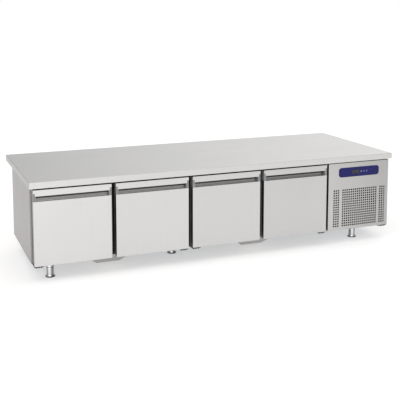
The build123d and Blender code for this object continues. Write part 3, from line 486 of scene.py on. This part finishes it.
LOOKS = {
    # Painted shade on the worktop's end faces.
    "top": brushed_steel("worktop_stainless", 0, ends=WORKTOP_PAINTED_SHADE),
    "sump": brushed_steel("sump_stainless", 0, colour=(0.5, 0.49, 0.485), roughness=0.42),
    # Painted light and shade: the machine panel is lighter at its left and darker towards its right.
    "front": brushed_steel("panel_stainless", 2, colour=(0.5, 0.495, 0.49), fade=PANEL_PAINTED_SHADE),
    # Painted shade: both side panels' steel is given darker than the doors', and the right one's faces that
    # look to -X darker still.
    "side": brushed_steel("side_stainless", 2, colour=(0.36, 0.348, 0.34), roughness=0.38, streak=0.01),
    "side_right": brushed_steel("right_side_stainless", 2, colour=(0.36, 0.348, 0.34), roughness=0.38,
                                ends=RIGHT_SIDE_PAINTED_SHADE),
    "recess": frame_steel("frame_stainless"),
    "liner": brushed_steel("liner_stainless", 2, colour=(0.6, 0.6, 0.6), roughness=0.28),
    "polished": polished_steel("polished_tube"),
    "galvanised": galvanised("galvanised_sheet"),
    "grey_cap": moulded_plastic("grey_cap_plastic", (0.21, 0.21, 0.213), 0.5),
    "pan": moulded_plastic("door_inner_panel", (0.25, 0.25, 0.252), 0.5),
    "fan_plastic": moulded_plastic("fan_plastic", (0.02, 0.02, 0.022), 0.42),
    "gasket": rubber("gasket_rubber", (0.055, 0.055, 0.058)),
    "keys": rubber("key_rubber", (0.02, 0.022, 0.14)),
    "dark_steel": painted_steel("black_bracket_paint", (0.02, 0.02, 0.021)),
    "black_paint": painted_steel("compressor_paint", (0.012, 0.012, 0.013), 0.3),
    "copper": copper("copper_tube"),
    "fins": aluminium_fins("aluminium_fins"),
    # The condenser coil's fins: dust, and painted shade that makes them nearly black.
    "dust_and_shade_fins": aluminium_fins("dust_and_shade_fins", 0.12),
    "foam": foam("polyurethane_foam"),
    "board": filler_board("chipboard_filler"),
    "overlay": overlay("blue_overlay"),
    "glass": dark_glass("display_glass"),
    "mark": moulded_plastic("key_mark_print", (0.3, 0.33, 0.45), 0.4),
    "digits": lit("digit_light", (0.15, 0.125, 0.115), 0.2),
    "wire": wire_coat("wire_coating"),
}

NODE_LOOKS = {
    "worktop_skin": "top",
    "worktop_core": "board",
    "side_panel_left": "side",
    "side_panel_right": "side_right",
    "back_panel": "galvanised",
    "rear_grille": "galvanised",
    "base_panels": "galvanised",
    "power_gland": "grey_cap",
    "insulation_slabs": "foam",
    "inner_liner": "liner",
    "front_frame": "recess",
    "drain_sumps": "sump",
    "leg_sleeves": "polished",
    "hinge_brackets": "dark_steel",
    "machine_panel": "front",
    "control_panel": "overlay",
    "display_window": "glass",
    "key_set": "keys",
    "key_up": "keys",
    "key_down": "keys",
    "shelves": "wire",
    "shelf_rails": "liner",
    "evaporator_covers": "liner",
    "evaporator_coils": "fins",
    "evaporator_fan_1": "fan_plastic",
    "evaporator_fan_2": "fan_plastic",
    "fan_motors": "dark_steel",
    "condenser_fan": "fan_plastic",
    "condenser_coil": "dust_and_shade_fins",
    "fan_shroud": "dark_steel",
    "compressor": "black_paint",
    "refrigerant_pipes": "copper",
    "electrical_box": "galvanised",
    "evaporation_tray": "galvanised",
}
# Painted shade: each door gets its own copy of the steel, darker from door 1 to door 4, with painted shade on
# its folded sides and finger channel.
for number, tone in DOOR_PAINTED_SHADES.items():
    steel = tint(DOOR_STEEL, tone)
    LOOKS[f"door_{number}"] = brushed_steel(f"door_{number}_stainless", 2, colour=steel, returns=True)
    NODE_LOOKS[f"door_{number}_skin"] = f"door_{number}"
    NODE_LOOKS[f"door_{number}_caps"] = "grey_cap"
    NODE_LOOKS[f"door_{number}_pan"] = "pan"
    NODE_LOOKS[f"door_{number}_core"] = "foam"
    NODE_LOOKS[f"door_{number}_gasket"] = "gasket"
for name in FEET:
    NODE_LOOKS[f"foot_{name}"] = "polished"


def dress_nodes():
    for name, obj in nodes.items():
        obj.data.materials.clear()
        obj.data.materials.append(LOOKS[NODE_LOOKS[name]])


# ------------------------------------------------------------------ mesh helpers
LEAST_RADIUS = 0.001
SHARP_ANGLE = math.radians(35)
# Stages of a bolt's head: sides, radii below and above, and heights, as shares of its radius and height.
HEAD_STAGES = ((32, 1.0, 0.95, 0.0, 0.2), (6, 0.82, 0.82, 0.2, 0.85), (6, 0.82, 0.66, 0.85, 1.0))


def piece(name, mesh, look, body):
    """Turns a bmesh into a named piece that rides on a body and takes its finish from a slot."""
    data = bpy.data.meshes.new(name)
    mesh.to_mesh(data)
    mesh.free()
    data.materials.append(LOOKS[look])
    data.shade_smooth()
    data.set_sharp_from_angle(angle=SHARP_ANGLE)
    obj = bpy.data.objects.new(name, data)
    bpy.context.scene.collection.objects.link(obj)
    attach(obj, body)
    return obj


def prism(mesh, outline, y_front, y_back):
    """A solid with an (x, z) outline between two Y planes."""
    front = [mesh.verts.new((x, y_front, z)) for x, z in outline]
    back = [mesh.verts.new((x, y_back, z)) for x, z in outline]
    faces = [mesh.faces.new(front), mesh.faces.new(back[::-1])]
    for i in range(len(outline)):
        j = (i + 1) % len(outline)
        faces.append(mesh.faces.new((front[j], front[i], back[i], back[j])))
    bmesh.ops.recalc_face_normals(mesh, faces=faces)


def close_rings(mesh, rings, capped=False):
    """Skins a chain of rings, which all have the same number of corners. The last ring joins the first one,
    or with capped, each of the two has a cap."""
    faces = []
    for i in range(len(rings) - 1 if capped else len(rings)):
        ring, following = rings[i], rings[(i + 1) % len(rings)]
        for j in range(len(ring)):
            k = (j + 1) % len(ring)
            faces.append(mesh.faces.new((ring[j], ring[k], following[k], following[j])))
    if capped:
        faces += [mesh.faces.new(rings[0]), mesh.faces.new(rings[-1])]
    bmesh.ops.recalc_face_normals(mesh, faces=faces)


def lathe(mesh, x, y, profile, steps=48):
    """Turns a closed (radius, z) profile about the vertical through x, y."""
    rings = []
    for i in range(steps):
        turn = 2 * math.pi * i / steps
        across, along = math.cos(turn), math.sin(turn)
        rings.append([mesh.verts.new((x + r * across, y + r * along, z)) for r, z in profile])
    close_rings(mesh, rings)


def rounded_outline(x0, x1, z0, z1, radius, steps=6):
    """Corners (x, z) of a rounded rectangle, as many for one radius as for another."""
    left, right, low, high = x0 + radius, x1 - radius, z0 + radius, z1 - radius
    corners = ((right, high, 0), (left, high, 90), (left, low, 180), (right, low, 270))
    points = []
    for centre_x, centre_z, start in corners:
        for i in range(steps + 1):
            turn = math.radians(start + 90 * i / steps)
            points.append((centre_x + radius * math.cos(turn), centre_z + radius * math.sin(turn)))
    return points


def picture_frame(mesh, x0, x1, z0, z1, radius, profile):
    """Carries a closed (inset, y) profile round a rounded rectangle."""
    outlines = []
    for inset, y in profile:
        corner = max(radius - inset, LEAST_RADIUS)
        outline = rounded_outline(x0 + inset, x1 - inset, z0 + inset, z1 - inset, corner)
        outlines.append([(x, y, z) for x, z in outline])
    close_rings(mesh, [[mesh.verts.new(point) for point in ring] for ring in zip(*outlines)])


def bend(mesh, start, end, outward, radius, steps=12, sides=12):
    """A tube bent in a half circle from start to end, bulging outward."""
    start, end, outward = Vector(start), Vector(end), Vector(outward)
    reach, across = (end - start).length / 2, (end - start).normalized()
    normal = across.cross(outward)
    rings = []
    for i in range(steps + 1):
        turn = math.pi * i / steps
        ray = outward * math.sin(turn) - across * math.cos(turn)
        centre = (start + end) / 2 + ray * reach
        ring = []
        for j in range(sides):
            around = 2 * math.pi * j / sides
            side = ray * math.cos(around) + normal * math.sin(around)
            ring.append(mesh.verts.new(centre + radius * side))
        rings.append(ring)
    close_rings(mesh, rings, capped=True)


def middle_xy(low, high):
    return (low.x + high.x) / 2, (low.y + high.y) / 2


def bolt(mesh, place, axis, radius, height):
    """A chamfered hexagon head on a washer, pointing along axis."""
    at = Matrix.Translation(place) @ Vector(axis).to_track_quat("Z", "Y").to_matrix().to_4x4()
    for sides, low_r, high_r, low, high in HEAD_STAGES:
        middle = Matrix.Translation((0, 0, height * (low + high) / 2))
        bmesh.ops.create_cone(mesh, cap_ends=True, segments=sides, radius1=radius * low_r,
                              radius2=radius * high_r, depth=height * (high - low), matrix=at @ middle)


# ------------------------------------------------------------------ doors
def gasket_section(y0, y1):
    """Closed (inset, y) section of a bellows gasket, with its foot on the door at y0 and two lobes at y1."""
    return [(0, y0), (0.004, y0 + 0.003), (0.001, y1 - 0.003), (0.004, y1), (0.0085, y1 - 0.0005),
            (0.010, y1 - 0.005), (0.0115, y1 - 0.0005), (0.016, y1), (0.019, y1 - 0.003),
            (0.016, y0 + 0.003), (0.020, y0)]


def door_details():
    """Bellows gaskets, and the ribs pressed into the inside of each door."""
    for number in DOOR_PAINTED_SHADES:
        low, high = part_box(f"door_{number}_gasket")
        mesh = bmesh.new()
        picture_frame(mesh, low.x, high.x, low.z, high.z, GASKET_CORNER, gasket_section(low.y, high.y))
        gasket = piece(f"gasket_{number}", mesh, "gasket", f"door_{number}")
        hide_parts(f"door_{number}_gasket")

        low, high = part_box(f"door_{number}_pan")
        section = [(inset, high.y + height) for inset, height in RIB_SECTION]
        mesh = bmesh.new()
        for inset in RIB_INSETS:
            picture_frame(mesh, low.x + inset, high.x - inset, low.z + inset, high.z - inset, RIB_CORNER,
                          section)
        piece(f"door_ribs_{number}", mesh, "pan", f"door_{number}")


# ------------------------------------------------------------------ feet, bolts, bulkhead and bends
def feet_details():
    """A rubber pad round the bottom of each foot, and two turned collars on its stem."""
    for name in FEET:
        low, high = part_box(f"foot_{name}")
        x, y = middle_xy(low, high)
        radius = (high.x - low.x) / 2
        mesh = bmesh.new()
        lathe(mesh, x, y, [(radius + past, z) for past, z in PAD_SECTION])
        piece(f"foot_pad_{name}", mesh, "gasket", f"foot_{name}_body")
        mesh = bmesh.new()
        for section in COLLAR_SECTIONS:
            lathe(mesh, x, y, section)
        piece(f"foot_collars_{name}", mesh, "polished", f"foot_{name}_body")


def bracket_bolts():
    """Bolts under the lower brackets of the doors and of the machine panel."""
    edges = []
    for number, side in DOOR_HINGE_SIDES.items():
        low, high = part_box(f"door_{number}_skin")
        edges.append((low.x if side < 0 else high.x, side))
    edges.append((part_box("machine_panel")[1].x, 1))
    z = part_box("hinge_brackets")[0].z
    mesh = bmesh.new()
    for edge, side in edges:
        for i in range(BRACKET_BOLTS):
            bolt(mesh, (edge - side * (BOLT_INSET + BOLT_STEP * i), BOLT_Y, z), DOWN, *BRACKET_BOLT)
    piece("bracket_bolts", mesh, "dark_steel", "cabinet")


def flange_bolts():
    """Bolts through the leg flanges. A front leg's flange ends at the front of its sleeve."""
    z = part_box("leg_sleeves")[1].z - FLANGE_THICKNESS
    mesh = bmesh.new()
    for name in FEET:
        x, y = middle_xy(*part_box(f"foot_{name}"))
        rows = (1,) if name.startswith("front") else (-1, 1)
        for dx in (-1, 1):
            for dy in rows:
                bolt(mesh, (x + dx * FLANGE_HOLE, y + dy * FLANGE_HOLE, z), DOWN, *FLANGE_BOLT)
    piece("flange_bolts", mesh, "polished", "cabinet")


def rear_screws():
    """Screws round the rear grille, and along the top and bottom of the back panel."""
    mesh = bmesh.new()
    low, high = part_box("rear_grille")
    for x in (low.x + GRILLE_INSET, (low.x + high.x) / 2, high.x - GRILLE_INSET):
        for z in (low.z + GRILLE_INSET, high.z - GRILLE_INSET):
            bolt(mesh, (x, high.y, z), BACKWARDS, *SCREW)
    low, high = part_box("back_panel")
    for i in range(BACK_SCREWS):
        x = low.x + BACK_INSET_X + (high.x - low.x - 2 * BACK_INSET_X) * i / (BACK_SCREWS - 1)
        for z in (low.z + BACK_INSET_Z, high.z - BACK_INSET_Z):
            bolt(mesh, (x, high.y, z), BACKWARDS, *SCREW)
    piece("rear_screws", mesh, "polished", "cabinet")


def bulkhead_sheet():
    """Sheet with pressed ribs over the foam on the machine side of the bulkhead."""
    low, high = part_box("insulation_slabs")
    z0, z1 = low.z + SHEET_BELOW, high.z - SHEET_ABOVE
    outline = [(0.0, z0), (SHEET, z0)]
    for i in range(1, SHEET_RIBS + 1):
        z = z0 + (z1 - z0) * i / (SHEET_RIBS + 1)
        outline += [(SHEET, z - RIB_FOOT), (RIB_HEIGHT, z - RIB_FLAT), (RIB_HEIGHT, z + RIB_FLAT),
                    (SHEET, z + RIB_FOOT)]
    outline += [(SHEET, z1), (0.0, z1)]
    mesh = bmesh.new()
    prism(mesh, [(BULKHEAD_X + dx, z) for dx, z in outline], low.y + SHEET_SIDE, high.y - SHEET_SIDE)
    piece("bulkhead_sheet", mesh, "galvanised", "cabinet")


def coil_bends():
    """Return bends that join pairs of tubes at both ends of the condenser coil."""
    low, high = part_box("condenser_coil")
    mesh = bmesh.new()
    for side, rows in BENDS.items():
        x = low.x if side < 0 else high.x
        for column in COIL_COLUMNS:
            for row in rows:
                y, z = low.y + column, low.z + COIL_ROW + COIL_PITCH * row
                bend(mesh, (x, y, z), (x, y, z + COIL_PITCH), (side, 0, 0), TUBE_R)
    piece("coil_bends", mesh, "dust_and_shade_fins", "cabinet")


# ------------------------------------------------------------------ display
def segment_outline(letter, x, z):
    """Six-cornered outline of one segment of a digit whose lower left corner is at (x, z)."""
    half, gap, w, h = DIGIT_STROKE / 2, SEGMENT_GAP, DIGIT_W, DIGIT_H
    ends = {"a": ((0, h), (w, h)), "g": ((0, h / 2), (w, h / 2)), "d": ((0, 0), (w, 0)),
            "f": ((0, h / 2), (0, h)), "b": ((w, h / 2), (w, h)),
            "e": ((0, 0), (0, h / 2)), "c": ((w, 0), (w, h / 2))}[letter]
    (x0, z0), (x1, z1) = ends
    if z0 == z1:
        left, right = x0 + gap, x1 - gap
        shape = [(left, z0), (left + half, z0 + half), (right - half, z0 + half), (right, z0),
                 (right - half, z0 - half), (left + half, z0 - half)]
    else:
        low, high = z0 + gap, z1 - gap
        shape = [(x0, low), (x0 + half, low + half), (x0 + half, high - half), (x0, high),
                 (x0 - half, high - half), (x0 - half, low + half)]
    return [(x + px, z + pz) for px, pz in shape]


def key_marks():
    """A round mark on the set key, and arrow heads on the other two."""
    turns = [math.radians(degrees) for degrees in range(0, 360, 15)]
    disc = [(math.cos(turn) * MARK, math.sin(turn) * MARK) for turn in turns]
    arrow = [(-MARK, -0.7 * MARK), (MARK, -0.7 * MARK), (0, MARK)]
    outlines = {"key_set": disc, "key_up": arrow, "key_down": [(x, -z) for x, z in arrow[::-1]]}
    for name, outline in outlines.items():
        low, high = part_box(name)
        x, z = (low.x + high.x) / 2, (low.z + high.z) / 2
        mesh = bmesh.new()
        prism(mesh, [(x + dx, z + dz) for dx, dz in outline], low.y - MARK_PROUD, low.y + MARK_DEPTH)
        piece(f"mark_{name}", mesh, "mark", f"{name}_body")


def display():
    """The digits and the point of the reading, in the middle of the display window."""
    low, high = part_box("display_window")
    count = len(DIGITS.replace(".", ""))
    x = (low.x + high.x) / 2 - (count * (DIGIT_W + DIGIT_GAP) - DIGIT_GAP) / 2
    z = (low.z + high.z) / 2 - DIGIT_H / 2
    mesh = bmesh.new()
    for character in DIGITS:
        if character == ".":
            dot, half = x - DIGIT_GAP / 2, DIGIT_STROKE / 2
            outlines = [[(dot - half, z - half), (dot + half, z - half), (dot + half, z + half),
                         (dot - half, z + half)]]
        else:
            outlines = [segment_outline(letter, x, z) for letter in SEGMENTS[character]]
            x += DIGIT_W + DIGIT_GAP
        for outline in outlines:
            prism(mesh, outline, low.y - DIGIT_PROUD, low.y)
    piece("display_digits", mesh, "digits", "machine_door")


# ------------------------------------------------------------------ studio
def floor():
    mesh = bmesh.new()
    bmesh.ops.create_grid(mesh, x_segments=8, y_segments=8, size=FLOOR_HALF)
    data = bpy.data.meshes.new("studio_floor")
    mesh.to_mesh(data)
    mesh.free()
    data.materials.append(studio_floor("pale_floor"))
    obj = bpy.data.objects.new("studio_floor", data)
    bpy.context.scene.collection.objects.link(obj)


def sky():
    """Soft light from all round, stronger from some sides. Where the camera sees the sky, it is plain white."""
    world = bpy.data.worlds.new("studio")
    bpy.context.scene.world = world
    world.use_nodes = True
    tree = world.node_tree
    coordinates = tree.nodes.new("ShaderNodeTexCoord")
    split = tree.nodes.new("ShaderNodeSeparateXYZ")
    tree.links.new(coordinates.outputs["Generated"], split.inputs["Vector"])
    x, y, z = (split.outputs[axis] for axis in "XYZ")
    total = SKY_BASE
    for value, factor in ((y, SKY_BACK), (x, SKY_SIDE), (math_node(tree, "MULTIPLY", x, y), SKY_TURN),
                          (z, SKY_TOP)):
        total = math_node(tree, "ADD", total, math_node(tree, "MULTIPLY", value, factor))
    total = math_node(tree, "MINIMUM", math_node(tree, "MAXIMUM", total, SKY_LEAST), SKY_MOST)

    background = tree.nodes["Background"]
    background.inputs["Color"].default_value = (1.0, 0.998, 0.996, 1.0)
    tree.links.new(total, background.inputs["Strength"])
    white = tree.nodes.new("ShaderNodeBackground")
    white.inputs["Color"].default_value = (1.0, 1.0, 1.0, 1.0)
    path = tree.nodes.new("ShaderNodeLightPath")
    mix = tree.nodes.new("ShaderNodeMixShader")
    tree.links.new(path.outputs["Is Camera Ray"], mix.inputs["Fac"])
    tree.links.new(background.outputs["Background"], mix.inputs[1])
    tree.links.new(white.outputs["Background"], mix.inputs[2])
    tree.links.new(mix.outputs["Shader"], tree.nodes["World Output"].inputs["Surface"])


def soft_box(name, place, target, size, power):
    data = bpy.data.lights.new(name, "AREA")
    data.shape = "RECTANGLE"
    data.size, data.size_y = size
    data.energy = power
    light = bpy.data.objects.new(name, data)
    bpy.context.scene.collection.objects.link(light)
    light.location = place
    light.rotation_euler = (Vector(target) - Vector(place)).to_track_quat("-Z", "Y").to_euler()


def camera():
    data = bpy.data.cameras.new("camera")
    data.lens = CAMERA_LENS
    data.sensor_width = CAMERA_SENSOR
    data.shift_y = CAMERA_SHIFT_Y
    obj = bpy.data.objects.new("camera", data)
    bpy.context.scene.collection.objects.link(obj)
    forward = Vector((math.sin(CAMERA_YAW) * math.cos(CAMERA_PITCH),
                      math.cos(CAMERA_YAW) * math.cos(CAMERA_PITCH), -math.sin(CAMERA_PITCH)))
    obj.location = CAMERA_AT
    obj.rotation_euler = forward.to_track_quat("-Z", "Y").to_euler()
    bpy.context.scene.camera = obj


bpy.context.scene.view_settings.view_transform = "Standard"
camera()
floor()
sky()
for light, settings in SOFT_BOXES.items():
    soft_box(light, *settings)
dress_nodes()
door_details()
feet_details()
bracket_bolts()
flange_bolts()
rear_screws()
bulkhead_sheet()
coil_bends()
key_marks()
display()
